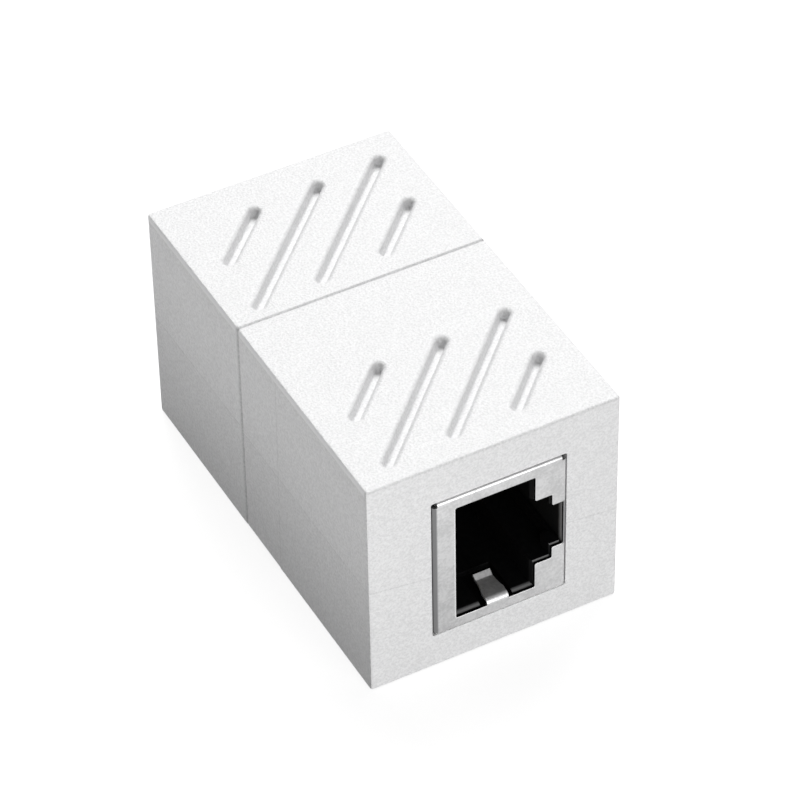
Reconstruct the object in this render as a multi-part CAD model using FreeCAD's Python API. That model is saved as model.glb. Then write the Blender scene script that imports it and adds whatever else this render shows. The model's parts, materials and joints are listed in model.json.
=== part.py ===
import FreeCAD, Part
import math
import os

# RJ45 inline coupler. X runs across it, Y along it and Z up, in millimetres. The origin is under the
# middle of the case. Both ports lie on their side: contacts towards -X, plug latch towards +X.

# Plug opening
plug_width = 12.24            # along Z
plug_height = 7.32            # along X, without the latch
plug_depth = 11.9             # from the face plate to the comb wall
latch_width = 7.05
latch_rise = 1.57             # how far the latch step goes beyond the plug opening
finger_width = 4.7
opening_corner = 0.16
cavity_inset = 0.205          # the moulded cavity is tighter than the sheet opening by this
latch_inset = 0.09            # the same at the latch step and the finger step
lead_in_grow = 0.185
lead_in_depth = 0.36
latch_lead_in = 0.1           # grow and depth of the lead-in at the latch step and the finger step

# Contacts
contact_count = 8
contact_pitch = 1.016
contact_width = 0.4
contact_thickness = 0.3
contact_slope = 16.0          # degrees between a contact and the cavity's floor
contact_bend = 0.55           # radius at the middle of the wire
contact_turn_height = 1.05    # between the run under the floor and the foot of the slope
contact_nose = 2.55           # from the face plate to the front of a contact
tail_bend = 0.45
tail_length = 0.9             # beyond the board
tip_length = 0.7              # of a contact's tip inside the comb wall

# Contact insert
tongue_height = 0.85
tongue_margin = 0.65          # beside the outer contacts
wire_groove_depth = 0.5
wire_side_gap = 0.08
wire_floor_gap = 0.05
row_setback = 0.7             # from the front of the base to the first row of tails
row_gap = 2.54
row_end = 0.91
base_margin = 0.7             # the base is this much wider than the tongue, each side

# Jack housing
comb_layer = 0.855            # floor between the cavity and the insert's tongue
comb_slot_width = 0.6
comb_wall = 1.2
comb_air = 0.8                # free height above the contact tips
side_wall = 1.035
housing_edge = 0.15           # chamfer round the front
latch_catch = 0.65            # depth of the pocket that holds the latch, above the latch step
latch_stop = 1.5              # thickness of the wall that the latch hooks behind
latch_pocket_end = 10.4
roof_skin = 0.31
finger_slot_length = 8.0
core_count = 3
core_width = 3.3
core_rib = 0.9
core_height = 4.0
core_depth = 3.2
peg_radius = 1.2
peg_boss_radius = 1.7
peg_spacing = 10.2
peg_setback = 8.2             # from the face plate
peg_end = 0.75                # beyond the board
peg_boss_gap = 0.05

# Shield can
sheet = 0.25
can_bend = 0.3
lip_bend = 0.47               # the wide bend along the contact side of the face plate
lip_length = 4.0
slit = 0.12
relief_width = 0.42           # square notch at the face plate's corners
relief_depth = 0.9
can_proud = 0.2               # face plate in front of the case
leg_width = 1.3
leg_setback = 10.6            # from the face plate
leg_end = 0.8                 # beyond the board
spring_width = 2.0
spring_waist = 0.22           # cut into each side, where the spring bends
spring_waist_radius = 4.5
spring_shift = 0.24           # from the middle of the plug opening, along X
lower_spring_root = 0.36      # from the opening's edge to the corner of the spring's first bend
upper_spring_root = 0.0       # the same at the other edge, where the plate hides the bend
spring_run = 2.25
spring_lift = 0.55            # from the opening's edge to the corner of its second bend
spring_tip_run = 0.52
spring_tip_lift = 0.34
spring_bend = 0.42
spring_recess_margin = 0.5
spring_recess_depth = 0.45
spring_recess_length = 4.2

# Circuit board
board_thickness = 1.6
board_margin = 0.9            # beyond the can, each side
tail_hole_radius = 0.45
peg_hole_gap = 0.12
leg_slot_gap = 0.15

# Clearances
fit_gap = 0.1                 # between pieces that slide into each other
face_gap = 0.05               # between the face plate and the housing
window_gap = 0.12             # round the can in the case

# Case
wall = 2.0
case_radius = 0.28
window_radius = 0.2
jack_spacing = 3.8            # between the backs of the two cans
seam_place = 2.75             # behind the middle of the case
seam_gap = 0.06
seam_bevel = 0.15
air_tails = 1.15              # between the contact tails and the case
air_latch = 3.0
air_below = 0.73              # between the board's edge and the case
air_above = 1.07
tongue_reach = 5.9            # of the rear shell inside the front shell
tongue_wall = 0.8
bead_height = 0.3
bead_base = 0.9
bead_length = 5.0
bead_spacing = 9.0
bead_place = 3.6              # from the seam
underside_relief = 0.3
underside_relief_length = 6.1
rib_width = 1.0
rib_length = 9.5
guide_length = 5.5
guide_grip = 0.7
guide_wall = 0.95
side_rib_spacing = 5.0
flat_rib_spacing = 6.0

# Grip grooves on top: short, long, long, short
groove_angle = 45.0           # from the length of the case
groove_width = 1.8            # over the rounded lips
groove_depth = 0.95
groove_draft = 18.0           # lean of the groove's walls
groove_lip = 0.45
groove_root = 0.18
groove_inner = 3.98           # between the long ones
groove_outer = 4.05           # from a long one to a short one
groove_stagger = 4.65
groove_short_share = 0.47     # of the long one
front_port_margin = 1.71      # from the port face to the nearest groove's end
front_seam_margin = 8.29
rear_port_margin = 2.6
rear_seam_margin = 1.12

# Sizes that follow
tongue_channel = tongue_height + 2 * fit_gap
floor_depth = comb_layer + tongue_channel
can_floor = floor_depth - cavity_inset + fit_gap + sheet
can_roof = latch_rise + latch_catch + roof_skin + fit_gap + sheet
can_height = can_floor + plug_height + can_roof
can_half = plug_width / 2 - cavity_inset + side_wall + fit_gap + sheet
base_length = row_setback + row_gap + row_end
can_depth = plug_depth + comb_wall + base_length + 3 * fit_gap + sheet
board_half = can_half + board_margin

case_width = 2 * wall + air_tails + tail_length + board_thickness + fit_gap + can_height + air_latch
case_height = 2 * wall + air_below + 2 * board_half + air_above
case_length = 2 * (can_depth - can_proud) + jack_spacing

half_width = case_width / 2
half_length = case_length / 2
room_x = half_width - wall
room_y = half_length - wall
room_top = case_height - wall

face_y = -half_length - can_proud
port_z = wall + air_below + board_half
board_back = -room_x + air_tails + tail_length
board_front = board_back + board_thickness
can_low = board_front + fit_gap
can_high = can_low + can_height
plug_low = can_low + can_floor
plug_high = plug_low + plug_height
latch_high = plug_high + latch_rise

housing_low = can_low + sheet + fit_gap
housing_high = can_high - sheet - fit_gap
housing_half = can_half - sheet - fit_gap
housing_front = sheet + face_gap
housing_back = can_depth - sheet - fit_gap
cavity_low = plug_low + cavity_inset
cavity_high = plug_high - cavity_inset
cavity_half = plug_width / 2 - cavity_inset
latch_top = latch_high - latch_inset
latch_side = latch_width / 2 - latch_inset
finger_side = finger_width / 2 - latch_inset
slot_floor = cavity_low - comb_layer
slot_front = contact_nose - contact_thickness / 2 - fit_gap

insert_low = housing_low + fit_gap
insert_high = slot_floor - fit_gap
contact_span = (contact_count - 1) * contact_pitch
tongue_half = contact_span / 2 + tongue_margin + contact_width / 2
base_half = tongue_half + base_margin
base_front = plug_depth + comb_wall + fit_gap
base_back = base_front + base_length
wire_x = insert_low + wire_groove_depth - wire_floor_gap - contact_thickness / 2
slope_foot_x = wire_x + contact_turn_height
slope_run = plug_depth + tip_length - contact_nose
tip_x = slope_foot_x + slope_run * math.tan(math.radians(contact_slope))
comb_top = tip_x + comb_air
spring_x = (plug_low + plug_high) / 2 + spring_shift

front_seam = seam_place - seam_gap / 2
rear_seam = seam_place + seam_gap / 2
tongue_end = rear_seam - tongue_reach
rebate = tongue_wall + fit_gap

groove_flank = math.tan(math.radians(groove_draft))
lip_run = groove_lip * math.tan(math.radians(90 - groove_draft) / 2)
groove_floor_width = groove_width - 2 * lip_run - 2 * groove_depth * groove_flank


def point(x, depth, z):
    # A place in the front jack, with its depth behind the face plate and its height from the port's middle
    return FreeCAD.Vector(x, face_y + depth, port_z + z)


def block(x_low, x_high, y_low, y_high, z_low, z_high):
    corner = FreeCAD.Vector(x_low, y_low, z_low)
    return Part.makeBox(x_high - x_low, y_high - y_low, z_high - z_low, corner)


def jack_block(x_low, x_high, depth_low, depth_high, z_low, z_high):
    y_low = face_y + depth_low
    y_high = face_y + depth_high
    return block(x_low, x_high, y_low, y_high, port_z + z_low, port_z + z_high)


def other_end(shape):
    # The rear jack is the front one turned half round about the axis that the board faces
    turned = shape.copy()
    turned.rotate(FreeCAD.Vector(0, 0, port_z), FreeCAD.Vector(1, 0, 0), 180)
    return turned


def sided(side, near, far):
    # The lower and the higher of two places, on the side given by the sign
    return sorted((side * near, side * far))


def edges_along(shape, axis):
    found = []
    for edge in shape.Edges:
        if edge.Curve.TypeId != "Part::GeomLine":
            continue
        direction = edge.Vertexes[-1].Point - edge.Vertexes[0].Point
        direction.normalize()
        if abs(direction.dot(axis)) > 0.999:
            found.append(edge)
    return found


def edges_in_plane(shape, axis, place):
    found = []
    for edge in shape.Edges:
        ends = [vertex.Point.dot(axis) for vertex in edge.Vertexes]
        if max(abs(end - place) for end in ends) < 0.0001:
            found.append(edge)
    return found


def rounded_edges(corners, radii):
    # Straight runs through the corners, joined by tangent arcs
    edges = []
    start = corners[0]
    for before, corner, after, radius in zip(corners, corners[1:], corners[2:], radii):
        back = (before - corner).normalize()
        ahead = (after - corner).normalize()
        half = math.acos(back.dot(ahead)) / 2
        middle = (back + ahead).normalize()
        leave = corner + back * (radius / math.tan(half))
        join = corner + ahead * (radius / math.tan(half))
        crown = corner + middle * (radius / math.sin(half) - radius)
        edges.append(Part.LineSegment(start, leave).toShape())
        edges.append(Part.Arc(leave, crown, join).toShape())
        start = join
    edges.append(Part.LineSegment(start, corners[-1]).toShape())
    return edges


def offset_corners(corners, radii, across, distance):
    # The same path moved sideways, with its bends kept concentric
    headings = [(end - start).normalize() for start, end in zip(corners, corners[1:])]
    normals = [across.cross(heading) for heading in headings]
    moved = [corners[0] + normals[0] * distance]
    moved_radii = []
    for index, radius in enumerate(radii):
        first = normals[index]
        second = normals[index + 1]
        shift = (first + second) * (distance / (1 + first.dot(second)))
        moved.append(corners[index + 1] + shift)
        left_turn = headings[index].cross(headings[index + 1]).dot(across) > 0
        moved_radii.append(radius - distance if left_turn else radius + distance)
    moved.append(corners[-1] + normals[-1] * distance)
    return moved, moved_radii


def bent_strip(corners, radii, thickness, width, across):
    # Flat stock of one thickness, bent along its middle line and as wide as given along across
    start = [corner - across * (width / 2) for corner in corners]
    left, left_radii = offset_corners(start, radii, across, thickness / 2)
    right, right_radii = offset_corners(start, radii, across, -thickness / 2)
    outline = rounded_edges(left, left_radii)
    outline.append(Part.LineSegment(left[-1], right[-1]).toShape())
    outline += rounded_edges(right[::-1], right_radii[::-1])
    outline.append(Part.LineSegment(right[0], left[0]).toShape())
    return Part.Face(Part.Wire(outline)).extrude(across * width)


def sheet_opening():
    # Plug opening through the face plate, with its latch step and finger step
    plug_edge = plug_width / 2
    latch_edge = latch_width / 2
    finger_edge = finger_width / 2
    side = [
        (plug_low, plug_edge),
        (plug_high, plug_edge),
        (plug_high, latch_edge),
        (latch_high, latch_edge),
        (latch_high, finger_edge),
        (can_high - sheet, finger_edge),
    ]
    corners = [point(x, -1, -z) for x, z in side]
    corners += [point(x, -1, z) for x, z in reversed(side)]
    face = Part.Face(Part.makePolygon(corners + corners[:1]))
    opening = face.extrude(FreeCAD.Vector(0, 2, 0))
    return opening.makeFillet(opening_corner, edges_along(opening, FreeCAD.Vector(0, 1, 0)))


def lead_in(x_low, x_high, half, grow, length):
    # Way into one step of the moulded cavity, widest at the housing's front
    ends = []
    for depth, spread in ((housing_front, grow), (housing_front + length, 0)):
        corners = [
            point(x_low - spread, depth, -half - spread),
            point(x_high + spread, depth, -half - spread),
            point(x_high + spread, depth, half + spread),
            point(x_low - spread, depth, half + spread),
        ]
        ends.append(Part.makePolygon(corners + corners[:1]))
    return Part.makeLoft(ends, True, True)


def contact_z(index):
    return index * contact_pitch - contact_span / 2


def contact_row(index):
    # Tails come out in two rows, every other contact in the rear one
    return base_front + row_setback + (index % 2) * row_gap


def ground_spring(side, root):
    # Bent back from the plug opening's edge into the cavity, on the side given by the sign
    edge = plug_width / 2
    bend = sheet / 2
    corners = [
        point(spring_x, bend, side * (edge + side_wall / 2)),
        point(spring_x, bend, side * (edge - root)),
        point(spring_x, bend + spring_run, side * (edge - spring_lift)),
        point(spring_x, bend + spring_run + spring_tip_run, side * (edge - spring_lift - spring_tip_lift)),
    ]
    strip = bent_strip(corners, [spring_bend, spring_bend], sheet, spring_width, FreeCAD.Vector(1, 0, 0))
    shift = spring_width / 2 + spring_waist_radius - spring_waist
    up = FreeCAD.Vector(0, 0, 1)
    scallops = []
    for turn in (-1, 1):
        foot = point(spring_x + turn * shift, bend + spring_run, -plug_width)
        scallops.append(Part.makeCylinder(spring_waist_radius, 2 * plug_width, foot, up))
    return strip.cut(scallops)


def can_skin(inset):
    # Outside of the can, or the inside when inset by the sheet's thickness
    half = can_half - inset
    skin = jack_block(can_low + inset, can_high - inset, inset, can_depth - inset, -half, half)
    folds = []
    lip_fold = []
    for edge in skin.Edges:
        middle = edge.CenterOfMass
        in_front = middle.y < face_y + inset + 0.001
        at_back = middle.y > face_y + can_depth - inset - 0.001
        on_roof = middle.x > can_high - inset - 0.001
        on_floor = middle.x < can_low + inset + 0.001
        if in_front and on_floor:
            lip_fold.append(edge)
        elif in_front or on_roof and not at_back:
            folds.append(edge)
    skin = skin.makeFillet(can_bend - inset, folds)
    middles = [edge.CenterOfMass for edge in lip_fold]
    nearest = min(skin.Edges, key=lambda edge: (edge.CenterOfMass - middles[0]).Length)
    return skin.makeFillet(lip_bend - inset, [nearest])


def shield_can():
    can = can_skin(0).cut(can_skin(sheet))
    cuts = [sheet_opening()]
    inside = can_half - sheet
    floor_inside = can_low + sheet + fit_gap
    cuts.append(jack_block(can_low - 1, floor_inside, lip_length, can_depth - sheet, -inside, inside))
    notch_low = can_half - relief_width
    cuts.append(jack_block(can_low - 1, can_low + lip_bend, -1, relief_depth, notch_low, can_half + 1))
    cuts.append(jack_block(can_high - relief_width, can_high + 1, -1, relief_depth, notch_low, can_half + 1))
    for side in (-1, 1):
        slit_low, slit_high = sided(side, inside - slit, inside)
        cuts.append(jack_block(can_low - 1, can_low + lip_bend, sheet, lip_length + 1, slit_low, slit_high))
        back = can_depth - sheet - fit_gap
        cuts.append(jack_block(can_low - 1, can_high - can_bend, back, can_depth + 1, slit_low, slit_high))
    can = can.cut(cuts)
    additions = [ground_spring(-1, lower_spring_root), ground_spring(1, upper_spring_root)]
    for side in (-1, 1):
        z_low, z_high = sided(side, inside, can_half)
        leg_front = leg_setback - leg_width / 2
        leg_back = leg_front + leg_width
        leg_tip = board_back - leg_end
        additions.append(jack_block(leg_tip, can_low + sheet, leg_front, leg_back, z_low, z_high))
    return can.fuse(additions).removeSplitter()


def housing_cavity():
    reach = housing_high + 1
    step_low = cavity_high - 1
    pocket_top = latch_high + latch_catch
    pocket_front = housing_front + latch_stop
    return [
        lead_in(cavity_low, cavity_high, cavity_half, lead_in_grow, lead_in_depth),
        lead_in(step_low, latch_top, latch_side, latch_lead_in, latch_lead_in),
        lead_in(step_low, reach, finger_side, latch_lead_in, latch_lead_in),
        jack_block(cavity_low, cavity_high, housing_front, plug_depth, -cavity_half, cavity_half),
        jack_block(step_low, latch_top, housing_front, latch_pocket_end, -latch_side, latch_side),
        jack_block(step_low, pocket_top, pocket_front, latch_pocket_end, -latch_side, latch_side),
        jack_block(step_low, reach, housing_front, finger_slot_length, -finger_side, finger_side),
    ]


def jack_housing():
    housing = jack_block(housing_low, housing_high, housing_front, housing_back, -housing_half, housing_half)
    front_edges = edges_in_plane(housing, FreeCAD.Vector(0, 1, 0), face_y + housing_front)
    housing = housing.makeChamfer(housing_edge, front_edges)
    cuts = housing_cavity()
    slot_half = comb_slot_width / 2
    for index in range(contact_count):
        z_low = contact_z(index) - slot_half
        z_high = contact_z(index) + slot_half
        slot_back = plug_depth + tip_length + fit_gap
        cuts.append(jack_block(slot_floor, cavity_low + fit_gap, slot_front, plug_depth, z_low, z_high))
        cuts.append(jack_block(slot_floor, comb_top, plug_depth - 1, slot_back, z_low, z_high))
    channel_half = tongue_half + fit_gap
    pocket_half = base_half + fit_gap
    pocket_front = base_front - fit_gap
    past_back = housing_back + 1
    cuts.append(jack_block(housing_low - 1, slot_floor, slot_front, past_back, -channel_half, channel_half))
    cuts.append(jack_block(housing_low - 1, comb_top, pocket_front, past_back, -pocket_half, pocket_half))
    core_low = comb_top + core_rib
    core_high = core_low + core_height
    core_front = housing_back - core_depth
    core_start = core_width / 2 - core_count * core_width / 2 - (core_count - 1) * core_rib / 2
    for index in range(core_count):
        z = core_start + index * (core_width + core_rib)
        z_low = z - core_width / 2
        z_high = z + core_width / 2
        cuts.append(jack_block(core_low, core_high, core_front, past_back, z_low, z_high))
    for side in (-1, 1):
        z_low, z_high = sided(side, cavity_half - 1, cavity_half + spring_recess_depth)
        x_low = spring_x - spring_width / 2 - spring_recess_margin
        x_high = spring_x + spring_width / 2 + spring_recess_margin
        cuts.append(jack_block(x_low, x_high, housing_front - 1, spring_recess_length, z_low, z_high))
    housing = housing.cut(cuts)
    down = FreeCAD.Vector(-1, 0, 0)
    pegs = []
    for side in (-1, 1):
        foot = point(housing_low + fit_gap, peg_setback, side * peg_spacing / 2)
        boss_length = foot.x - board_front - peg_boss_gap
        pegs.append(Part.makeCylinder(peg_boss_radius, boss_length, foot, down))
        pegs.append(Part.makeCylinder(peg_radius, foot.x - board_back + peg_end, foot, down))
    channel_low = insert_low - fit_gap
    channel = jack_block(channel_low, slot_floor, slot_front, past_back, -channel_half, channel_half)
    pegs = [peg.cut(channel) for peg in pegs]
    return housing.fuse(pegs).removeSplitter()


def contact_insert():
    tongue_front = contact_nose + contact_bend + fit_gap
    tongue = jack_block(insert_low, insert_high, tongue_front, base_back, -tongue_half, tongue_half)
    base = jack_block(insert_low, comb_top - fit_gap, base_front, base_back, -base_half, base_half)
    insert = tongue.fuse(base).removeSplitter()
    groove_half = contact_width / 2 + wire_side_gap
    cuts = []
    for index in range(contact_count):
        z = contact_z(index)
        back = contact_row(index) + contact_thickness / 2 + wire_side_gap
        groove_top = insert_low + wire_groove_depth
        cuts.append(jack_block(insert_low - 1, groove_top, 0, back, z - groove_half, z + groove_half))
    return insert.cut(cuts)


def contact(index):
    z = contact_z(index)
    row = contact_row(index)
    corners = [
        point(board_back - tail_length, row, z),
        point(wire_x, row, z),
        point(wire_x, contact_nose, z),
        point(slope_foot_x, contact_nose, z),
        point(tip_x, plug_depth + tip_length, z),
    ]
    radii = [tail_bend, contact_bend, contact_bend]
    return bent_strip(corners, radii, contact_thickness, contact_width, FreeCAD.Vector(0, 0, 1))


def board_cuts():
    # Holes for one jack, drilled through from the front port's side
    through = board_thickness + 2
    ahead = FreeCAD.Vector(1, 0, 0)
    cuts = []
    for index in range(contact_count):
        start = point(board_back - 1, contact_row(index), contact_z(index))
        cuts.append(Part.makeCylinder(tail_hole_radius, through, start, ahead))
    for side in (-1, 1):
        start = point(board_back - 1, peg_setback, side * peg_spacing / 2)
        cuts.append(Part.makeCylinder(peg_radius + peg_hole_gap, through, start, ahead))
        leg_middle = side * (can_half - sheet / 2)
        slot_half = sheet / 2 + leg_slot_gap
        reach = leg_width / 2 + leg_slot_gap
        z_low = leg_middle - slot_half
        z_high = leg_middle + slot_half
        depth_low = leg_setback - reach
        depth_high = leg_setback + reach
        cuts.append(jack_block(board_back - 1, board_front + 1, depth_low, depth_high, z_low, z_high))
    return cuts


def circuit_board():
    board_end = room_y - fit_gap
    board = block(board_back, board_front, -board_end, board_end, port_z - board_half, port_z + board_half)
    front_cuts = board_cuts()
    rear_cuts = [other_end(cut) for cut in front_cuts]
    return board.cut(front_cuts + rear_cuts)


def slot_wire(length, width, z):
    # Outline with two straight sides and two round ends, lying along Y
    radius = width / 2
    reach = length / 2 - radius
    first = FreeCAD.Vector(radius, -reach, z)
    second = FreeCAD.Vector(radius, reach, z)
    third = FreeCAD.Vector(-radius, reach, z)
    fourth = FreeCAD.Vector(-radius, -reach, z)
    far = FreeCAD.Vector(0, length / 2, z)
    near = FreeCAD.Vector(0, -length / 2, z)
    return Part.Wire([
        Part.LineSegment(first, second).toShape(),
        Part.Arc(second, far, third).toShape(),
        Part.LineSegment(third, fourth).toShape(),
        Part.Arc(fourth, near, first).toShape(),
    ])


def groove_tool(length):
    # Tapering slot with a rounded floor, as long as given before its lips are rounded
    straight = length - groove_width
    floor_z = case_height - groove_depth
    width = groove_floor_width + 2 * groove_depth * groove_flank
    top = slot_wire(straight + width, width, case_height)
    floor = slot_wire(straight + groove_floor_width, groove_floor_width, floor_z)
    slot = Part.makeLoft([top, floor], True, True)
    return slot.makeFillet(groove_root, edges_in_plane(slot, FreeCAD.Vector(0, 0, 1), floor_z))


def grip_grooves(y_low, y_high):
    # Four grooves whose long ones reach from one of these places to the other
    angle = math.radians(groove_angle)
    along = FreeCAD.Vector(math.sin(angle), math.cos(angle), 0)
    sideways = FreeCAD.Vector(math.cos(angle), -math.sin(angle), 0)
    middle = FreeCAD.Vector(0, (y_low + y_high) / 2, 0)
    reach = (y_high - y_low + groove_inner * math.sin(angle)) / 2
    long_length = 2 * reach / math.cos(angle) - groove_stagger
    short_length = groove_short_share * long_length
    rows = ((groove_inner / 2, long_length), (groove_inner / 2 + groove_outer, short_length))
    tools = []
    for side in (-1, 1):
        slide = along * (side * groove_stagger / 2)
        for across, length in rows:
            tool = groove_tool(length)
            tool.rotate(FreeCAD.Vector(0, 0, 0), FreeCAD.Vector(0, 0, 1), -groove_angle)
            tool.translate(middle + slide + sideways * (side * across))
            tools.append(tool)
    return tools


def soften_groove_lips(shell, y_low, y_high):
    inset = case_radius + 0.05
    lips = []
    for edge in edges_in_plane(shell, FreeCAD.Vector(0, 0, 1), case_height):
        box = edge.BoundBox
        inside_x = box.XMin > -half_width + inset and box.XMax < half_width - inset
        inside_y = box.YMin > y_low + inset and box.YMax < y_high - inset
        if inside_x and inside_y:
            lips.append(edge)
    return shell.makeFillet(groove_lip, lips)


def shell_blank(y_low, y_high, seam):
    # Outer form: rounded at every edge but those at the seam, which have a small bevel
    blank = block(-half_width, half_width, y_low, y_high, 0, case_height)
    lengthwise = FreeCAD.Vector(0, 1, 0)
    seam_edges = edges_in_plane(blank, lengthwise, seam)
    rounded = [edge for edge in blank.Edges if not any(edge.isSame(other) for other in seam_edges)]
    blank = blank.makeFillet(case_radius, rounded)
    return blank.makeChamfer(seam_bevel, edges_in_plane(blank, lengthwise, seam))


def port_window(side):
    y_low, y_high = sided(side, room_y - 1, half_length + 1)
    z_low = port_z - can_half - window_gap
    z_high = port_z + can_half + window_gap
    window = block(can_low - window_gap, can_high + window_gap, y_low, y_high, z_low, z_high)
    return window.makeFillet(window_radius, edges_along(window, FreeCAD.Vector(0, 1, 0)))


def rib_block(side, length, x_low, x_high, z_low, z_high):
    # Rib that starts at the port wall's inner face, on the front or the rear by the sign
    y_low, y_high = sided(side, room_y - length, room_y + wall / 2)
    return block(x_low, x_high, y_low, y_high, z_low, z_high)


def inner_ribs(side):
    # Ribs that hold the can, each rooted halfway into the case's wall
    root = wall / 2
    can_bottom = port_z - can_half - fit_gap
    can_top = port_z + can_half + fit_gap
    middle_x = (can_low + can_high) / 2
    half = rib_width / 2
    ribs = []
    for step in (-1, 0, 1):
        z = port_z + step * side_rib_spacing
        ribs.append(rib_block(side, rib_length, can_high + fit_gap, room_x + root, z - half, z + half))
    for step in (-0.5, 0.5):
        x = middle_x + step * flat_rib_spacing
        ribs.append(rib_block(side, rib_length, x - half, x + half, wall - root, can_bottom))
        ribs.append(rib_block(side, rib_length, x - half, x + half, can_top, room_top + root))
    return ribs


def board_guides(side):
    # Two grooved rails that hold the board's long edges
    x_low = board_back - fit_gap - guide_wall
    x_high = board_front + fit_gap + guide_wall
    edge_low = port_z - board_half
    edge_high = port_z + board_half
    root = wall / 2
    low_rail = rib_block(side, guide_length, x_low, x_high, wall - root, edge_low + guide_grip)
    high_rail = rib_block(side, guide_length, x_low, x_high, edge_high - guide_grip, room_top + root)
    y_far = room_y + fit_gap
    slot_low = board_back - fit_gap
    slot_high = board_front + fit_gap
    slot = block(slot_low, slot_high, -y_far, y_far, edge_low - fit_gap, edge_high + fit_gap)
    wall_back = block(-half_width, half_width, -room_y, room_y, 0, case_height)
    slot = slot.common(wall_back)
    return [low_rail.cut(slot), high_rail.cut(slot)]


def snap_beads(grow):
    # Ridges across the rear shell's tongue, or with grow the grooves that take them
    tongue_x = room_x + tongue_wall
    y = rear_seam - bead_place
    half = bead_base / 2 + grow
    tip = tongue_x + bead_height + grow
    root = tongue_x - tongue_wall / 2
    beads = []
    for side in (-1, 1):
        for step in (-0.5, 0.5):
            z = case_height / 2 + step * bead_spacing - bead_length / 2 - grow
            outline = [
                FreeCAD.Vector(side * root, y - half, z),
                FreeCAD.Vector(side * tongue_x, y - half, z),
                FreeCAD.Vector(side * tip, y, z),
                FreeCAD.Vector(side * tongue_x, y + half, z),
                FreeCAD.Vector(side * root, y + half, z),
            ]
            face = Part.Face(Part.makePolygon(outline + outline[:1]))
            beads.append(face.extrude(FreeCAD.Vector(0, 0, bead_length + 2 * grow)))
    return beads


def front_shell():
    y_low = -half_length
    shell = shell_blank(y_low, front_seam, front_seam)
    shell = shell.cut(grip_grooves(y_low + front_port_margin, front_seam - front_seam_margin))
    shell = soften_groove_lips(shell, y_low, front_seam)
    past = front_seam + 1
    room = block(-room_x, room_x, -room_y, past, wall, room_top)
    mouth_x = room_x + rebate
    mouth_y = tongue_end - fit_gap
    mouth = block(-mouth_x, mouth_x, mouth_y, past, wall - rebate, room_top + rebate)
    relief_y = front_seam - underside_relief_length
    relief = block(-half_width - 1, half_width + 1, relief_y, past, -1, underside_relief)
    shell = shell.cut([room, mouth, relief])
    shell = shell.fuse(inner_ribs(-1) + board_guides(-1))
    return shell.cut([port_window(-1)] + snap_beads(fit_gap)).removeSplitter()


def rear_shell():
    y_high = half_length
    shell = shell_blank(rear_seam, y_high, rear_seam)
    shell = shell.cut(grip_grooves(rear_seam + rear_seam_margin, y_high - rear_port_margin))
    shell = soften_groove_lips(shell, rear_seam, y_high)
    tongue_x = room_x + tongue_wall
    root = rear_seam + wall / 2
    tongue = block(-tongue_x, tongue_x, tongue_end, root, wall - tongue_wall, room_top + tongue_wall)
    shell = shell.fuse([tongue] + snap_beads(0))
    shell = shell.cut(block(-room_x, room_x, tongue_end - 1, room_y, wall, room_top))
    shell = shell.fuse(inner_ribs(1) + board_guides(1))
    return shell.cut(port_window(1)).removeSplitter()


def all_pieces():
    pieces = {
        "front_shell": front_shell(),
        "rear_shell": rear_shell(),
        "circuit_board": circuit_board(),
    }
    jack = {
        "shield_can": shield_can(),
        "jack_housing": jack_housing(),
        "contact_insert": contact_insert(),
    }
    for index in range(contact_count):
        jack["contact_%d" % (index + 1)] = contact(index)
    for name, shape in jack.items():
        pieces["front_" + name] = shape
        pieces["rear_" + name] = other_end(shape)
    return pieces


os.makedirs("parts", exist_ok=True)
for name, shape in all_pieces().items():
    solids = shape.Solids
    solid = solids[0] if len(solids) == 1 else shape
    print(name, "solids", len(solids), "valid", shape.isValid(), "volume %.2f" % shape.Volume)
    solid.exportStep("parts/" + name + ".step")
print("case %.3f x %.3f x %.3f" % (case_width, case_length, case_height))
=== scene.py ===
import bpy
import json
import math
from mathutils import Matrix, Vector

mm = 0.001

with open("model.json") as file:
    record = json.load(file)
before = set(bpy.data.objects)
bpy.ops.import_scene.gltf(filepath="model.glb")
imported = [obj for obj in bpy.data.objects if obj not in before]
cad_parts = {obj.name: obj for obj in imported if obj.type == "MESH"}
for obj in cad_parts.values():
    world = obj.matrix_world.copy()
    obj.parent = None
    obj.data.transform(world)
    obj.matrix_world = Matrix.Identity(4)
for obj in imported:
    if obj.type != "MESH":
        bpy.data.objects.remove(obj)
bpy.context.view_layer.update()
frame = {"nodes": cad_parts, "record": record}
nodes = frame["nodes"]
print("frame loaded:", len(nodes), "nodes")


# small helpers for the node trees

def newMaterial(name):
    material = bpy.data.materials.new(name)
    material.use_nodes = True
    tree = material.node_tree
    shader = tree.nodes["Principled BSDF"]
    return material, tree, shader


def addNode(tree, kind, **settings):
    node = tree.nodes.new(kind)
    for name, value in settings.items():
        setattr(node, name, value)
    return node


def mathNode(tree, operation, first, second=None, third=None):
    node = addNode(tree, "ShaderNodeMath", operation=operation)
    for index, value in enumerate((first, second, third)):
        if value is None:
            continue
        if isinstance(value, (int, float)):
            node.inputs[index].default_value = value
        else:
            tree.links.new(value, node.inputs[index])
    return node.outputs[0]


def productNode(tree, first, *others):
    for other in others:
        first = mathNode(tree, "MULTIPLY", first, other)
    return first


def outsideNode(tree, share):
    # One where the share is nothing, and the other way round
    return mathNode(tree, "SUBTRACT", 1.0, share)


def vectorNode(tree, operation, first, second=None):
    node = addNode(tree, "ShaderNodeVectorMath", operation=operation)
    tree.links.new(first, node.inputs[0])
    if second is not None:
        tree.links.new(second, node.inputs[1])
    return node.outputs[0]


def splitNode(tree, vector):
    node = addNode(tree, "ShaderNodeSeparateXYZ")
    tree.links.new(vector, node.inputs[0])
    return node.outputs


def objectPosition(tree):
    return addNode(tree, "ShaderNodeTexCoord").outputs["Object"]


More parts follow.
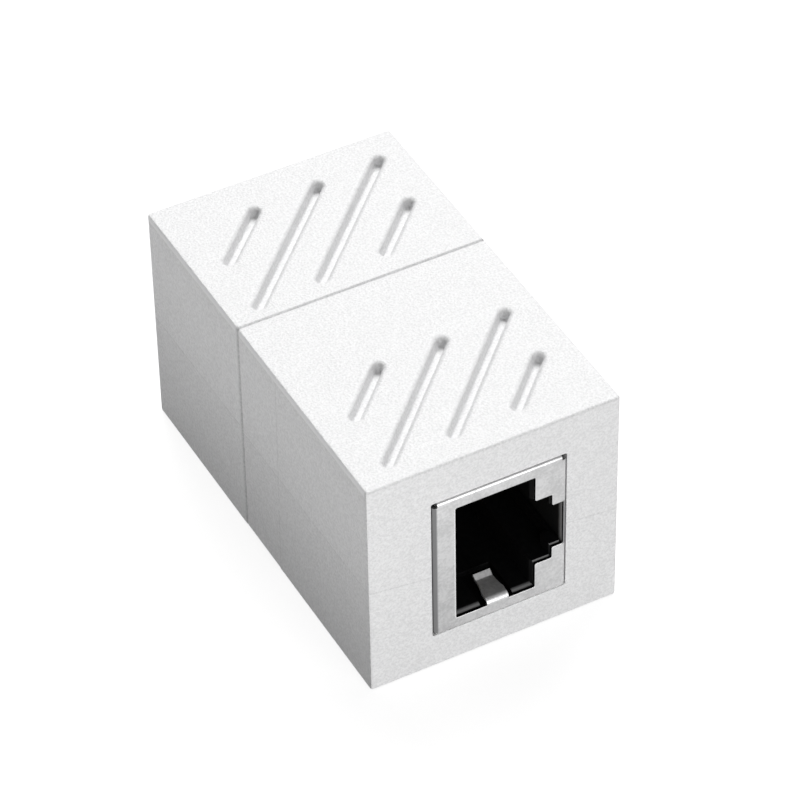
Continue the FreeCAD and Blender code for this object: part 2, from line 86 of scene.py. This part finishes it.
def noiseNode(tree, position, size, detail=2.0, roughness=0.5):
    # size is the width of one speck, in metres
    node = addNode(tree, "ShaderNodeTexNoise")
    node.inputs["Scale"].default_value = 1.0 / size
    node.inputs["Detail"].default_value = detail
    node.inputs["Roughness"].default_value = roughness
    tree.links.new(position, node.inputs["Vector"])
    return node.outputs["Fac"]


def rangeNode(tree, value, fromRange, toLow=0.0, toHigh=1.0):
    node = addNode(tree, "ShaderNodeMapRange")
    node.inputs["From Min"].default_value, node.inputs["From Max"].default_value = fromRange
    node.inputs["To Min"].default_value = toLow
    node.inputs["To Max"].default_value = toHigh
    tree.links.new(value, node.inputs["Value"])
    return node.outputs["Result"]


def awayNode(tree, value, middle):
    return mathNode(tree, "ABSOLUTE", mathNode(tree, "SUBTRACT", value, middle))


def bandNode(tree, value, middle, halfWidth):
    # One on the middle line, and nothing from half a width away
    return rangeNode(tree, awayNode(tree, value, middle), (0.0, halfWidth), 1.0, 0.0)


def betweenNode(tree, value, low, high):
    above = mathNode(tree, "GREATER_THAN", value, low)
    return productNode(tree, above, mathNode(tree, "LESS_THAN", value, high))


def chooseNode(tree, kind, choice, off, on):
    # kind is FLOAT, VECTOR or RGBA
    node = addNode(tree, "ShaderNodeMix", data_type=kind)
    for name, value in (("Factor", choice), ("A", off), ("B", on)):
        tree.links.new(value, node.inputs[name])
    return node.outputs["Result"]


def mixColours(tree, share, first, second):
    node = addNode(tree, "ShaderNodeMix", data_type="RGBA")
    node.inputs["A"].default_value = (*first, 1)
    node.inputs["B"].default_value = (*second, 1)
    tree.links.new(share, node.inputs["Factor"])
    return node.outputs["Result"]


def tintNode(tree, share, colour, tint):
    node = addNode(tree, "ShaderNodeMix", data_type="RGBA")
    node.inputs["B"].default_value = (*tint, 1)
    tree.links.new(share, node.inputs["Factor"])
    tree.links.new(colour, node.inputs["A"])
    return node.outputs["Result"]


def scaledColour(tree, colour, share):
    node = addNode(tree, "ShaderNodeVectorMath", operation="SCALE")
    tree.links.new(colour, node.inputs[0])
    tree.links.new(share, node.inputs["Scale"])
    return node.outputs[0]


def bumpNode(tree, height, depth, below=None):
    # depth is how far the surface rises for a height of one, in metres
    node = addNode(tree, "ShaderNodeBump")
    node.inputs["Strength"].default_value = 1.0
    node.inputs["Distance"].default_value = depth
    tree.links.new(height, node.inputs["Height"])
    if below is not None:
        tree.links.new(below, node.inputs["Normal"])
    return node.outputs["Normal"]


bevelSamples = 6  # more of them give a cleaner round and a slower render


def roundedEdges(tree, radius):
    # Shades each sharp edge as if it had a small round
    node = addNode(tree, "ShaderNodeBevel", samples=bevelSamples)
    node.inputs["Radius"].default_value = radius
    return node.outputs["Normal"]


# white case: faint lines that the mould left, the sides darker below them, and painted shade along the
# seam, in the grooves and along the top edge of the ends

mouldLinesAndShade = {
    "halfWidth": 0.1 * mm,
    "darker": 0.11,
    # height where the line would cross the middle, and its rise for each metre along the face
    "frontShellSide": (10.83 * mm, -0.0134),
    "rearShellSide": (11.25 * mm, -0.0204),
    "endLeft": (9.34 * mm, -0.149),
    "endRight": (11.2 * mm, -0.113),
    "sideStart": 11.3 * mm,
    "endStart": 19.3 * mm,
    "lowerSideDarker": 0.035,
    # one line up the side where two mould inserts meet: place along the case and lean
    "insertLine": (-3.45 * mm, -0.025),
    # painted shade: a thin darker line along the top edge of both ends
    "endTopLine": 22.0 * mm,
    "endTopHalfWidth": 0.16 * mm,
    "endTopPaintedShade": 0.13,
    "seam": 2.8 * mm,
    # painted shade along the seam on the sides: its half width and how much darker
    "seamHalfWidth": 0.36 * mm,
    "seamPaintedShade": 0.25,
    # painted shade in the grooves, from their edges down
    "grooveRange": (21.9 * mm, 22.2 * mm),
    "grooveLowest": 20.5 * mm,
    "groovePaintedShade": 0.03,
}


def leaningLine(tree, along, line):
    place, lean = line
    return mathNode(tree, "MULTIPLY_ADD", along, lean, place)


def linesAndPaintedShade(tree, position):
    # Share by which the mould lines and the sides below them are darker than the faces round them, with
    # painted shade in the seam, in the grooves and along the top edge of the ends
    x, y, z = splitNode(tree, position)
    onSide = mathNode(tree, "GREATER_THAN", mathNode(tree, "ABSOLUTE", x), mouldLinesAndShade["sideStart"])
    onEnd = mathNode(tree, "GREATER_THAN", mathNode(tree, "ABSOLUTE", y), mouldLinesAndShade["endStart"])
    onWall = mathNode(tree, "MAXIMUM", onSide, onEnd)
    isRear = mathNode(tree, "GREATER_THAN", y, mouldLinesAndShade["seam"])
    isRight = mathNode(tree, "GREATER_THAN", x, 0.0)
    frontSide = leaningLine(tree, y, mouldLinesAndShade["frontShellSide"])
    rearSide = leaningLine(tree, y, mouldLinesAndShade["rearShellSide"])
    sideHeight = chooseNode(tree, "FLOAT", isRear, frontSide, rearSide)
    endLeft = leaningLine(tree, x, mouldLinesAndShade["endLeft"])
    endRight = leaningLine(tree, x, mouldLinesAndShade["endRight"])
    endHeight = chooseNode(tree, "FLOAT", isRight, endLeft, endRight)
    height = chooseNode(tree, "FLOAT", onEnd, sideHeight, endHeight)
    parting = productNode(tree, bandNode(tree, z, height, mouldLinesAndShade["halfWidth"]), onWall)
    insertPlace = leaningLine(tree, z, mouldLinesAndShade["insertLine"])
    insert = productNode(tree, bandNode(tree, y, insertPlace, mouldLinesAndShade["halfWidth"]), onSide)
    lines = productNode(tree, mathNode(tree, "MAXIMUM", parting, insert), mouldLinesAndShade["darker"])
    lower = mathNode(tree, "LESS_THAN", z, sideHeight)
    lower = productNode(tree, lower, onSide, mouldLinesAndShade["lowerSideDarker"])
    # painted shade inside the grooves, darker below their edges, kept off the outer walls
    grooveShade = rangeNode(tree, z, mouldLinesAndShade["grooveRange"], mouldLinesAndShade["groovePaintedShade"], 0.0)
    inGroove = mathNode(tree, "GREATER_THAN", z, mouldLinesAndShade["grooveLowest"])
    grooveShade = productNode(tree, grooveShade, inGroove, outsideNode(tree, onWall))
    # painted shade: a thin darker line along the top edge of both ends
    endTopShade = bandNode(tree, z, mouldLinesAndShade["endTopLine"], mouldLinesAndShade["endTopHalfWidth"])
    endTopShade = productNode(tree, endTopShade, onEnd, mouldLinesAndShade["endTopPaintedShade"])
    # painted shade: the seam drawn darker on the sides
    seam = bandNode(tree, y, mouldLinesAndShade["seam"], mouldLinesAndShade["seamHalfWidth"])
    seam = productNode(tree, seam, onSide, mouldLinesAndShade["seamPaintedShade"])
    shell = mathNode(tree, "ADD", lines, lower)
    faint = mathNode(tree, "ADD", shell, mathNode(tree, "ADD", grooveShade, endTopShade))
    return mathNode(tree, "MAXIMUM", faint, seam)


# white case: outer edges shaded crisper than their round, with a painted highlight strip along the top
# of each side

caseEdges = {
    "sideStart": 11.21 * mm,
    "endStart": 19.21 * mm,
    "seamHalfWidth": 0.25 * mm,
    "sharpening": 4,
    "stripRange": (21.48 * mm, 21.6 * mm),
    "stripEnd": 22.1 * mm,
    "stripHighlightColour": (0.995, 0.995, 1.0),
}


def dressEdges(tree, position, normal, colour):
    # Away from the seam each outer edge's normals lean to the nearest face
    x, y, z = splitNode(tree, position)
    onSide = mathNode(tree, "GREATER_THAN", mathNode(tree, "ABSOLUTE", x), caseEdges["sideStart"])
    onEnd = mathNode(tree, "GREATER_THAN", mathNode(tree, "ABSOLUTE", y), caseEdges["endStart"])
    fromSeam = awayNode(tree, y, mouldLinesAndShade["seam"])
    offSeam = mathNode(tree, "GREATER_THAN", fromSeam, caseEdges["seamHalfWidth"])
    outer = productNode(tree, mathNode(tree, "MAXIMUM", onSide, onEnd), offSeam)
    size = vectorNode(tree, "ABSOLUTE", normal)
    sharp = normal
    for step in range(caseEdges["sharpening"]):
        sharp = vectorNode(tree, "MULTIPLY", sharp, size)
    sharp = vectorNode(tree, "NORMALIZE", sharp)
    # painted highlight: a lighter strip along the top of each side, off the seam and the ends
    highlightStrip = rangeNode(tree, z, caseEdges["stripRange"])
    below = mathNode(tree, "LESS_THAN", z, caseEdges["stripEnd"])
    highlightStrip = productNode(tree, highlightStrip, onSide, offSeam, outsideNode(tree, onEnd), below)
    colour = tintNode(tree, highlightStrip, colour, caseEdges["stripHighlightColour"])
    return chooseNode(tree, "VECTOR", outer, normal, sharp), colour


# white case: spark-eroded grain

caseFinish = {
    "colour": (0.94, 0.94, 0.945),
    "shade": (0.925, 0.925, 0.93),
    "cloudSize": 2.2 * mm,
    "cloudDetail": 3.0,
    "cloudRange": (0.35, 0.65),
    "grainSize": 0.19 * mm,
    "grainDetail": 1.0,
    "grainRange": (0.3, 0.7),
    "grainDepth": 0.06 * mm,
    "speck": 0.16,
    "roughness": 0.5,
    "edgeRound": 0.06 * mm,
}


def makeCasePlastic():
    material, tree, shader = newMaterial("whiteCasePlastic")
    position = objectPosition(tree)
    cloud = noiseNode(tree, position, caseFinish["cloudSize"], caseFinish["cloudDetail"])
    cloudShare = rangeNode(tree, cloud, caseFinish["cloudRange"])
    colour = mixColours(tree, cloudShare, caseFinish["colour"], caseFinish["shade"])
    grain = noiseNode(tree, position, caseFinish["grainSize"], caseFinish["grainDetail"])
    speck = rangeNode(tree, grain, caseFinish["grainRange"], caseFinish["speck"], 0.0)
    dark = mathNode(tree, "ADD", speck, linesAndPaintedShade(tree, position))
    colour = scaledColour(tree, colour, outsideNode(tree, dark))
    edges = roundedEdges(tree, caseFinish["edgeRound"])
    edges, colour = dressEdges(tree, position, edges, colour)
    tree.links.new(colour, shader.inputs["Base Color"])
    tree.links.new(bumpNode(tree, grain, caseFinish["grainDepth"], edges), shader.inputs["Normal"])
    shader.inputs["Roughness"].default_value = caseFinish["roughness"]
    return material


# nickel plated sheet of the shield cans

shieldFinish = {
    "colour": (0.58, 0.58, 0.583),
    "stain": (0.46, 0.46, 0.463),
    "stainSize": 1.6 * mm,
    "stainDetail": 4.0,
    "stainRange": (0.35, 0.7),
    "mottle": 0.5,
    "mottleSize": 0.25 * mm,
    "mottleRange": (0.3, 0.7),
    "noiseRoughness": 0.6,
    "roughRange": (0.3, 0.7),
    "roughLow": 0.28,
    "roughHigh": 0.42,
    "waveSize": 2.5 * mm,
    "waveDetail": 1.0,
    "waveDepth": 0.01 * mm,
    "edgeRound": 0.06 * mm,
    "portHeight": 10.93 * mm,  # up to the middle of the port
    # painted light and shade on the face plate: lighter toward the top and darker toward the bottom,
    # turning round from one side to the other
    "paintedShadeHalfHeight": 7.3 * mm,
    "paintedShadeHalfWidth": 6.1 * mm,
    "paintedShadeShare": 0.08,
    "paintedShadeMiddle": 0.5,
    # painted shade down the wide bend on the contact side of the face plate
    "bendPaintedShade": (0.2, 0.2, 0.203),
    "bendRange": (-5.42 * mm, -5.3 * mm),
    # painted shade: cut faces of the sheet round the plug opening, which the ground springs leave free,
    # coloured near black
    "cutPaintedShade": (0.03, 0.03, 0.031),
    "cutBack": 19.44 * mm,
    "cutFront": 19.685 * mm,
    "cutHalfHeight": 6.25 * mm,
    "cutLow": -3.9 * mm,
    "cutHigh": 6.15 * mm,
    "springPlace": 0.2 * mm,
    "springHalfWidth": 1.03 * mm,
    # painted highlight: edge round the opening, white and not metallic on the sides that face up or to
    # the latch
    "highlightRound": 0.2 * mm,
    "wearAndHighlightRange": (0.03, 0.16),
    "highlightColour": (1.0, 1.0, 1.0),
    # inside of the can: dull, and beside the latch painted shade, darker further in
    "insideRough": 0.55,
    "wallStart": 5.6 * mm,
    "wallRough": 0.7,
    "wallRange": (18.85 * mm, 19.44 * mm),
    "wallDeepShade": (0.02, 0.02, 0.0203),
    "wallLight": (0.55, 0.55, 0.553),
    # painted shade on the narrow part of the face plate beside the latch
    "rimStart": 6.15 * mm,
    "rimHalfHeight": 2.4 * mm,
    "rimPaintedShade": (0.24, 0.24, 0.243),
}


def sheetColour(tree, position, stain, x, above):
    # Stained and mottled plating, with painted light and shade that turns across the face plate and
    # painted shade down the bend
    stainShare = rangeNode(tree, stain, shieldFinish["stainRange"])
    mottleSize, roughness = shieldFinish["mottleSize"], shieldFinish["noiseRoughness"]
    mottle = noiseNode(tree, position, mottleSize, roughness=roughness)
    depth = shieldFinish["mottle"]
    mottleShare = rangeNode(tree, mottle, shieldFinish["mottleRange"], -depth, depth)
    share = mathNode(tree, "ADD", stainShare, mottleShare)
    colour = mixColours(tree, share, shieldFinish["colour"], shieldFinish["stain"])
    # painted light and shade: lighter toward the top, darker toward the bottom, turning across the
    # plate
    rise = productNode(tree, above, shieldFinish["paintedShadeShare"] / shieldFinish["paintedShadeHalfHeight"])
    lean = -1.0 / shieldFinish["paintedShadeHalfWidth"]
    turn = mathNode(tree, "MULTIPLY_ADD", x, lean, shieldFinish["paintedShadeMiddle"])
    colour = scaledColour(tree, colour, mathNode(tree, "MULTIPLY_ADD", rise, turn, 1.0))
    # painted shade: the bend coloured dark grey
    bendShade = rangeNode(tree, x, shieldFinish["bendRange"], 1.0, 0.0)
    return tintNode(tree, bendShade, colour, shieldFinish["bendPaintedShade"])


def roundOpening(tree, x, away):
    # One beside the plug opening, apart from the ground springs
    around = mathNode(tree, "LESS_THAN", away, shieldFinish["cutHalfHeight"])
    across = betweenNode(tree, x, shieldFinish["cutLow"], shieldFinish["cutHigh"])
    fromSpring = awayNode(tree, x, shieldFinish["springPlace"])
    offSpring = mathNode(tree, "GREATER_THAN", fromSpring, shieldFinish["springHalfWidth"])
    return productNode(tree, around, across, offSpring)


def highlightedEdge(tree, depth, around):
    # Painted highlight: white, not metallic, where the edge leans up or to the latch
    tilt = splitNode(tree, roundedEdges(tree, shieldFinish["highlightRound"]))
    wearAndHighlight = mathNode(tree, "MAXIMUM", tilt["X"], tilt["Z"])
    wearAndHighlight = rangeNode(tree, wearAndHighlight, shieldFinish["wearAndHighlightRange"])
    onPlate = mathNode(tree, "GREATER_THAN", depth, shieldFinish["cutFront"])
    return productNode(tree, wearAndHighlight, around, onPlate)


def makeShieldSheet():
    material, tree, shader = newMaterial("nickelPlatedSheet")
    position = objectPosition(tree)
    x, y, z = splitNode(tree, position)
    depth = mathNode(tree, "ABSOLUTE", y)
    above = mathNode(tree, "SUBTRACT", z, shieldFinish["portHeight"])
    away = mathNode(tree, "ABSOLUTE", above)
    stainSize, stainDetail = shieldFinish["stainSize"], shieldFinish["stainDetail"]
    stain = noiseNode(tree, position, stainSize, stainDetail, shieldFinish["noiseRoughness"])
    colour = sheetColour(tree, position, stain, x, above)
    around = roundOpening(tree, x, away)
    # painted shade: the cut faces round the opening coloured near black
    cutShade = betweenNode(tree, depth, shieldFinish["cutBack"], shieldFinish["cutFront"])
    colour = tintNode(tree, productNode(tree, cutShade, around), colour, shieldFinish["cutPaintedShade"])
    # painted highlight round the opening: white, and not metallic further below
    wearAndHighlight = highlightedEdge(tree, depth, around)
    colour = tintNode(tree, wearAndHighlight, colour, shieldFinish["highlightColour"])
    # painted shade on the inside wall beside the latch, darker further in
    inside = mathNode(tree, "LESS_THAN", depth, shieldFinish["wallRange"][1])
    wall = productNode(tree, inside, mathNode(tree, "GREATER_THAN", x, shieldFinish["wallStart"]))
    shallow = rangeNode(tree, depth, shieldFinish["wallRange"])
    wallShade = mixColours(tree, shallow, shieldFinish["wallDeepShade"], shieldFinish["wallLight"])
    colour = chooseNode(tree, "RGBA", wall, colour, wallShade)
    # painted shade on the narrow part of the face plate beside the latch
    rimShade = mathNode(tree, "LESS_THAN", away, shieldFinish["rimHalfHeight"])
    onRim = mathNode(tree, "GREATER_THAN", x, shieldFinish["rimStart"])
    rimShade = productNode(tree, rimShade, onRim, outsideNode(tree, inside))
    colour = tintNode(tree, rimShade, colour, shieldFinish["rimPaintedShade"])
    tree.links.new(colour, shader.inputs["Base Color"])
    roughLow, roughHigh = shieldFinish["roughLow"], shieldFinish["roughHigh"]
    roughness = rangeNode(tree, stain, shieldFinish["roughRange"], roughLow, roughHigh)
    dull = rangeNode(tree, wall, (0.0, 1.0), shieldFinish["insideRough"], shieldFinish["wallRough"])
    tree.links.new(chooseNode(tree, "FLOAT", inside, roughness, dull), shader.inputs["Roughness"])
    tree.links.new(outsideNode(tree, wearAndHighlight), shader.inputs["Metallic"])
    wave = noiseNode(tree, position, shieldFinish["waveSize"], shieldFinish["waveDetail"])
    edges = roundedEdges(tree, shieldFinish["edgeRound"])
    tree.links.new(bumpNode(tree, wave, shieldFinish["waveDepth"], edges), shader.inputs["Normal"])
    return material


# black moulding inside the port

jackFinish = {
    "colour": (0.003, 0.003, 0.0033),
    "scuff": (0.006, 0.006, 0.0065),
    "scuffSize": 0.5 * mm,
    "scuffDetail": 3.0,
    "scuffRange": (0.4, 0.7),
    "shine": 0.12,
    "roughness": 0.45,
    "grainSize": 0.12 * mm,
    "grainDepth": 0.006 * mm,
    "edgeRound": 0.05 * mm,
    # ledges of the lead-in, with a painted highlight and more shine: where they lie, and how steeply
    # they rise
    "ledgeHighlightColour": (0.16, 0.16, 0.161),
    "ledgeShine": 0.7,
    "ledgeMiddle": 19.27 * mm,
    "ledgeHalf": 0.23 * mm,
    "ledgeRise": 0.3,
    "ledgeFlat": 0.95,
}


def makeJackPlastic():
    material, tree, shader = newMaterial("blackJackPlastic")
    position = objectPosition(tree)
    scuff = noiseNode(tree, position, jackFinish["scuffSize"], jackFinish["scuffDetail"])
    scuff = rangeNode(tree, scuff, jackFinish["scuffRange"])
    colour = mixColours(tree, scuff, jackFinish["colour"], jackFinish["scuff"])
    depth = mathNode(tree, "ABSOLUTE", splitNode(tree, position)["Y"])
    facing = splitNode(tree, addNode(tree, "ShaderNodeNewGeometry").outputs["True Normal"])
    slope = betweenNode(tree, facing["Z"], jackFinish["ledgeRise"], jackFinish["ledgeFlat"])
    # painted highlight: the ledges of the lead-in lifted to grey, with more shine
    ledgeHighlight = bandNode(tree, depth, jackFinish["ledgeMiddle"], jackFinish["ledgeHalf"])
    ledgeHighlight = productNode(tree, ledgeHighlight, slope)
    colour = tintNode(tree, ledgeHighlight, colour, jackFinish["ledgeHighlightColour"])
    tree.links.new(colour, shader.inputs["Base Color"])
    shine = rangeNode(tree, ledgeHighlight, (0.0, 1.0), jackFinish["shine"], jackFinish["ledgeShine"])
    tree.links.new(shine, shader.inputs["Specular IOR Level"])
    grain = noiseNode(tree, position, jackFinish["grainSize"])
    edges = roundedEdges(tree, jackFinish["edgeRound"])
    tree.links.new(bumpNode(tree, grain, jackFinish["grainDepth"], edges), shader.inputs["Normal"])
    shader.inputs["Roughness"].default_value = jackFinish["roughness"]
    return material


# gold plated contact wires

contactFinish = {
    "colour": (0.9, 0.62, 0.2),
    "worn": (0.82, 0.58, 0.24),
    "wearSize": 0.4 * mm,
    "wearAndHighlightRange": (0.4, 0.6),
    "roughness": 0.24,
}


def makeContactGold():
    material, tree, shader = newMaterial("goldPlatedWire")
    wearAndHighlight = noiseNode(tree, objectPosition(tree), contactFinish["wearSize"])
    wearAndHighlight = rangeNode(tree, wearAndHighlight, contactFinish["wearAndHighlightRange"])
    colour = mixColours(tree, wearAndHighlight, contactFinish["colour"], contactFinish["worn"])
    tree.links.new(colour, shader.inputs["Base Color"])
    shader.inputs["Metallic"].default_value = 1.0
    shader.inputs["Roughness"].default_value = contactFinish["roughness"]
    return material


# green solder mask over glass weave

boardFinish = {
    "colour": (0.02, 0.16, 0.06),
    "weave": (0.03, 0.2, 0.08),
    "weaveSize": 0.5 * mm,
    "weaveDepth": 0.004 * mm,
    "roughness": 0.3,
}


def makeBoardMask():
    material, tree, shader = newMaterial("greenSolderMask")
    weave = addNode(tree, "ShaderNodeTexChecker")
    weave.inputs["Scale"].default_value = 1.0 / boardFinish["weaveSize"]
    tree.links.new(objectPosition(tree), weave.inputs["Vector"])
    square = weave.outputs["Fac"]
    colour = mixColours(tree, square, boardFinish["colour"], boardFinish["weave"])
    tree.links.new(colour, shader.inputs["Base Color"])
    tree.links.new(bumpNode(tree, square, boardFinish["weaveDepth"]), shader.inputs["Normal"])
    shader.inputs["Roughness"].default_value = boardFinish["roughness"]
    return material


# moulded edges drawn closer to what they fit, where the photo shows no open gap. For each: the shell,
# the ranges in X, Y and Z that hold the edge's vertices, the axis, and the shift along it, all in mm

tightFits = {
    "frontWindowTop": ("front_shell", (-5.9, 6.65), (-19.6, -17.4), (18.14, 18.37), "Z", -0.118),
    "frontWindowSide": ("front_shell", (-5.9, -5.66), (-19.6, -17.4), (3.5, 18.37), "X", 0.09),
    "rearWindowTop": ("rear_shell", (-5.9, 6.65), (17.4, 19.6), (18.14, 18.37), "Z", -0.118),
    "rearWindowSide": ("rear_shell", (-5.9, -5.66), (17.4, 19.6), (3.5, 18.37), "X", 0.09),
    "seamEdge": ("rear_shell", (-11.6, 11.6), (2.77, 2.94), (-0.1, 22.3), "Y", -0.05),
}


def tightenFit(fitName):
    shell, across, along, upward, axis, length = tightFits[fitName]
    node = nodes[shell]
    edge = node.vertex_groups.new(name=fitName)
    for vertex in node.data.vertices:
        places = [value / mm for value in vertex.co]
        if all(low < place < high for place, (low, high) in zip(places, (across, along, upward))):
            edge.add([vertex.index], 1.0, "REPLACE")
    shift = node.modifiers.new(fitName, "DISPLACE")
    shift.vertex_group = fitName
    shift.direction = axis
    shift.mid_level = 0.0
    shift.strength = length * mm


# smooth shading on the rounds, with flat faces kept flat and sharp edges sharp

faceShading = {
    "mergeDistance": 0.0005 * mm,
    "sharpAngle": 26,  # degrees between two faces from which their edge is a sharp one
    "flatWeight": 100,
    "sameWeight": 0.01,
}


def dressNode(name, slot):
    node = nodes[name]
    node.data.materials.clear()
    node.data.materials.append(finishes[slot])
    for polygon in node.data.polygons:
        polygon.use_smooth = True
    weld = node.modifiers.new("joined", "WELD")
    weld.merge_threshold = faceShading["mergeDistance"]
    split = node.modifiers.new("sharpEdges", "EDGE_SPLIT")
    split.split_angle = math.radians(faceShading["sharpAngle"])
    flatten = node.modifiers.new("flatFaces", "WEIGHTED_NORMAL")
    flatten.mode = "FACE_AREA"
    flatten.weight = faceShading["flatWeight"]
    flatten.thresh = faceShading["sameWeight"]


finishes = {
    "case": makeCasePlastic(),
    "jack": makeJackPlastic(),
    "shield": makeShieldSheet(),
    "contact": makeContactGold(),
    "board": makeBoardMask(),
}
print("materials made:", len(finishes))
for fitName in tightFits:
    tightenFit(fitName)
for row in frame["record"]["subparts"]:
    dressNode(row["node"], row["material_slot"])


# floor, light and camera

floorStage = {
    "size": 3.0,
    "seenColour": 0.3,
    "seenGlow": 0.83,
    "bounceColour": 0.08,
}


def seenDirectly(tree):
    # One for what the camera sees, straight or in metal and glass
    path = addNode(tree, "ShaderNodeLightPath").outputs
    seen = mathNode(tree, "MAXIMUM", path["Is Camera Ray"], path["Is Glossy Ray"])
    return mathNode(tree, "MAXIMUM", seen, path["Is Transmission Ray"])


def greyDiffuse(tree, grey):
    node = addNode(tree, "ShaderNodeBsdfDiffuse")
    node.inputs["Color"].default_value = (grey, grey, grey, 1)
    return node.outputs[0]


def makeFloor():
    bpy.ops.mesh.primitive_plane_add(size=floorStage["size"], location=(0, 0, 0))
    floor = bpy.context.object
    floor.name = "floor"
    material, tree, shader = newMaterial("paleFloor")
    tree.nodes.remove(shader)
    glow = addNode(tree, "ShaderNodeEmission")
    glow.inputs["Strength"].default_value = floorStage["seenGlow"]
    both = addNode(tree, "ShaderNodeAddShader")
    tree.links.new(greyDiffuse(tree, floorStage["seenColour"]), both.inputs[0])
    tree.links.new(glow.outputs[0], both.inputs[1])
    mix = addNode(tree, "ShaderNodeMixShader")
    tree.links.new(seenDirectly(tree), mix.inputs[0])
    tree.links.new(greyDiffuse(tree, floorStage["bounceColour"]), mix.inputs[1])
    tree.links.new(both.outputs[0], mix.inputs[2])
    tree.links.new(mix.outputs[0], tree.nodes["Material Output"].inputs["Surface"])
    floor.data.materials.append(material)


studioLight = {
    "skySeen": 0.5,
    "skyLight": 0.055,
}

# energy in watts, size along and up, place, and the point that it faces

lamps = {
    "topLamp": (9.25, (0.68, 0.6), (0.3, 0.46, 0.74), (0, 0, 0.02)),
    "upperFrontLamp": (0.39, (0.3, 0.15), (0.0, -0.36, 0.222), (0, 0, 0.012)),
    "lowerFrontLamp": (0.88, (0.35, 0.1), (0.015, -0.4, 0.055), (0, 0, 0.01)),
    "leftLamp": (0.0066, (0.14, 0.005), (-0.034, 0.0, 0.0195), (0, 0, 0.0195)),
}


def makeSky():
    world = bpy.data.worlds.new("studioSky")
    bpy.context.scene.world = world
    world.use_nodes = True
    tree = world.node_tree
    background = tree.nodes["Background"]
    background.inputs["Color"].default_value = (1, 1, 1, 1)
    skyLight, skySeen = studioLight["skyLight"], studioLight["skySeen"]
    strength = rangeNode(tree, seenDirectly(tree), (0.0, 1.0), skyLight, skySeen)
    tree.links.new(strength, background.inputs["Strength"])


def makeLamp(name):
    energy, size, place, target = lamps[name]
    data = bpy.data.lights.new(name, "AREA")
    data.shape = "RECTANGLE"
    data.energy = energy
    data.size, data.size_y = size
    lamp = bpy.data.objects.new(name, data)
    bpy.context.scene.collection.objects.link(lamp)
    lamp.location = place
    lamp.rotation_euler = (Vector(target) - Vector(place)).to_track_quat("-Z", "Y").to_euler()


cameraPlace = {
    "lookAt": (1.520 * mm, -0.639 * mm, 11.252 * mm),
    "distance": 355.65 * mm,
    "azimuth": -27.581,
    "elevation": 42.243,
    "roll": -1.147,
    "lens": 191.93,
    "sensorWidth": 36,
    "clipRange": (0.01, 10),
}


def makeCamera():
    data = bpy.data.cameras.new("camera")
    camera = bpy.data.objects.new("camera", data)
    bpy.context.scene.collection.objects.link(camera)
    turn = math.radians(cameraPlace["azimuth"])
    rise = math.radians(cameraPlace["elevation"])
    back = Vector((
        math.sin(turn) * math.cos(rise),
        -math.cos(turn) * math.cos(rise),
        math.sin(rise),
    ))
    level = (-back).to_track_quat("-Z", "Y").to_matrix()
    rolled = level @ Matrix.Rotation(math.radians(cameraPlace["roll"]), 3, "Z")
    camera.rotation_euler = rolled.to_euler()
    camera.location = Vector(cameraPlace["lookAt"]) + back * cameraPlace["distance"]
    data.lens = cameraPlace["lens"]
    data.sensor_width = cameraPlace["sensorWidth"]
    data.clip_start, data.clip_end = cameraPlace["clipRange"]
    bpy.context.scene.camera = camera


makeFloor()
makeSky()
for lampName in lamps:
    makeLamp(lampName)
makeCamera()
bpy.context.scene.view_settings.view_transform = "Standard"
print("stage made:", len(lamps), "lamps")
